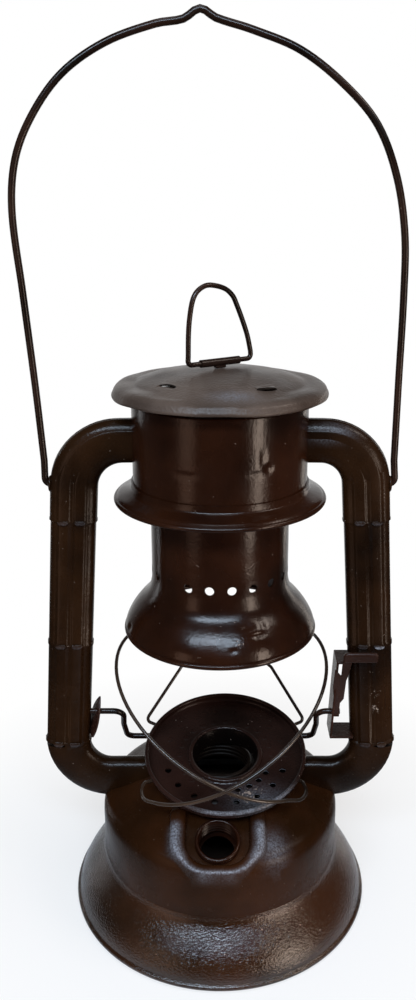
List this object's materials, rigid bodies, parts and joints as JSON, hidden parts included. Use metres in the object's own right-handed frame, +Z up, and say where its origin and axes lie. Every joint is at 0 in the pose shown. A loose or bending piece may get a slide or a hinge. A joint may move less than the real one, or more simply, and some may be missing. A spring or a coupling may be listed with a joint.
{
  "type": "tin oil lamp",
  "caption": "Small tubular oil lantern without its glass: flared tank, side air tubes, domed hood with bell chimney, wire guards on a lifting plate, carrying bail",
  "frame": {"origin": "middle of the foot's underside, on the lamp's upright axis", "axes": "+Z up, -Y towards the filler at the front, +X towards the lift lever's side"},
  "size_m": [0.162, 0.1344, 0.3805],
  "materials": {
    "enamel": "glossy dark brown enamel over tinplate, slightly orange-peeled",
    "dull_enamel": "the same enamel, dulled grey-brown by soot and handling",
    "dark_wire": "near-black enamelled steel wire"
  },
  "bodies": {
    "frame": {"base_skirt": "enamel", "tank_bottom": "dull_enamel", "tank_body": "enamel", "filler_neck": "enamel", "burner_seat": "enamel", "burner_collar": "enamel", "side_tube_left": "enamel", "side_tube_right": "enamel", "canopy": "enamel", "canopy_skirt": "enamel", "chimney_guide": "enamel", "lever_bracket": "enamel", "pivot_clip": "enamel"},
    "hood": {"chimney_bell": "enamel", "hood_cap": "dull_enamel", "hood_leg_left": "enamel", "hood_leg_right": "enamel", "hood_leg_back": "enamel", "ring_sleeve": "dull_enamel"},
    "ring": {"lift_ring": "dark_wire"},
    "bail": {"bail": "dark_wire"},
    "crank": {"lift_crank": "dark_wire", "lift_lever": "enamel"},
    "plate": {"globe_plate": "enamel", "guard_wire_left": "dark_wire", "guard_wire_right": "dark_wire"}
  },
  "joints": [
    {"name": "hood_lift", "type": "slide", "parent": "frame", "child": "hood", "axis": [0, 0, 1], "range_m": [0, 0.016]},
    {"name": "ring_fold", "type": "hinge", "parent": "hood", "child": "ring", "pos_m": [0, 0, 0.2478], "axis": [0.8192, 0.5736, 0], "range_deg": [-85, 85]},
    {"name": "bail_swing", "type": "hinge", "parent": "frame", "child": "bail", "pos_m": [0, 0, 0.196], "axis": [1, 0, 0], "range_deg": [-140, 140]},
    {"name": "crank_turn", "type": "hinge", "parent": "frame", "child": "crank", "pos_m": [0, 0, 0.088], "axis": [1, 0, 0], "range_deg": [0, 45]},
    {"name": "plate_level", "type": "hinge", "parent": "crank", "child": "plate", "pos_m": [0, 0.013, 0.0668], "axis": [1, 0, 0], "range_deg": [-45, 0]}
  ],
  "couplings": [
    {"joint": "plate_level", "follows": "crank_turn", "ratio": -1}
  ]
}
